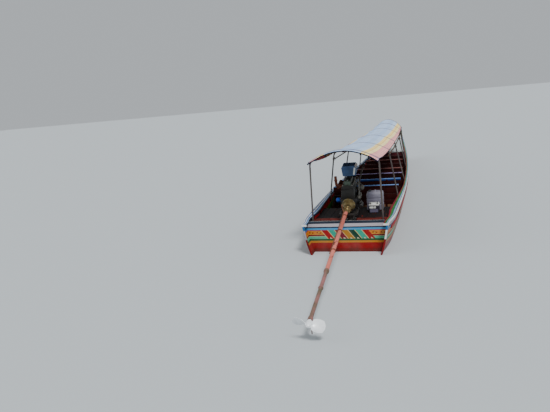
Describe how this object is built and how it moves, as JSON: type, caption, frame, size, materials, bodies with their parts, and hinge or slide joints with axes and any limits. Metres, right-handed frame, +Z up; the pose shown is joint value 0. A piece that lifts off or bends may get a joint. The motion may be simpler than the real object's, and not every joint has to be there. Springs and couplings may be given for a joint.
{
  "type": "longtail boat",
  "caption": "Slender wooden passenger boat with a cloth canopy on hoops, rows of benches and a swivelling, tilting stern engine that turns a propeller on a long tail tube.",
  "frame": {"origin": "on the waterline, on the centreline, half way along the hull", "axes": "+Y to the bow, +X to starboard, +Z up"},
  "size_m": [1.8066, 17.1119, 2.2804],
  "materials": {
    "hull_paint": "gloss paint in bands over planks, faded and scuffed",
    "deck_paint": "worn pale grey paint",
    "wood": "oiled, worn boards",
    "rail_paint": "blue gloss paint, chipped",
    "bench_paint": "dark maroon paint with a blue top edge",
    "red_paint": "worn red-orange paint",
    "steel": "dark painted steel with rust",
    "hoop_metal": "grey-green painted tube",
    "engine_cast": "dark oily castings",
    "rusty_steel": "brown rust",
    "tube_paint": "salmon-pink paint with rust patches",
    "propeller_metal": "cast, scoured bright",
    "plastic": "black case",
    "tank_plastic": "pale grey moulded plastic",
    "cloth": "woven striped tarpaulin, pale blue-grey with cream and pink stripes"
  },
  "bodies": {
    "hull": {"hull_shell": "hull_paint", "transom": "hull_paint", "transom_cap": "deck_paint", "backbone": "hull_paint", "ribs": "wood", "gunwale_port": "rail_paint", "gunwale_starboard": "rail_paint", "rub_rail_port": "wood", "rub_rail_starboard": "wood", "foredeck": "deck_paint", "bulkhead": "bench_paint", "bow_board": "hull_paint", "engine_beam": "red_paint", "deck_beam": "red_paint", "stern_deck": "red_paint", "floor_boards": "wood", "pivot_socket": "steel", "battery": "plastic", "fuel_tank": "tank_plastic", "bow_sash": "cloth", "bench_1": "bench_paint", "bench_2": "bench_paint", "bench_3": "bench_paint", "bench_4": "bench_paint", "bench_5": "bench_paint", "bench_6": "bench_paint", "bench_7": "bench_paint", "canopy_hoop_1": "hoop_metal", "canopy_hoop_2": "hoop_metal", "canopy_hoop_3": "hoop_metal", "canopy_hoop_4": "hoop_metal", "canopy_hoop_5": "hoop_metal", "canopy_hoop_6": "hoop_metal", "eave_rail_port": "wood", "eave_rail_starboard": "wood", "ridge_batten": "wood", "awning": "cloth"},
    "swivel": {"swivel_yoke": "steel"},
    "engine": {"engine_cradle": "steel", "engine_block": "engine_cast", "cylinder_head": "engine_cast", "rocker_cover": "engine_cast", "exhaust": "rusty_steel", "air_box": "tank_plastic", "bell_housing": "engine_cast", "crank_pulley": "steel", "alternator": "engine_cast", "oil_filter": "steel", "injection_pump": "engine_cast", "starter": "engine_cast", "tail_tube": "tube_paint", "cooling_pipe": "tube_paint", "tiller": "tube_paint"},
    "propeller": {"propeller": "propeller_metal"}
  },
  "joints": [
    {"name": "steer", "type": "hinge", "parent": "hull", "child": "swivel", "pos_m": [0, -6.25, 0.55], "axis": [0, 0, 1], "range_deg": [-42, 38]},
    {"name": "tilt", "type": "hinge", "parent": "swivel", "child": "engine", "pos_m": [0, -6.25, 0.645], "axis": [0.9994, 0.0349, 0], "range_deg": [-11, 7]},
    {"name": "propeller_spin", "type": "hinge", "parent": "engine", "child": "propeller", "pos_m": [0.00084, -6.27407, 0.82338], "axis": [-0.0346, 0.9904, 0.1338], "continuous": true}
  ]
}
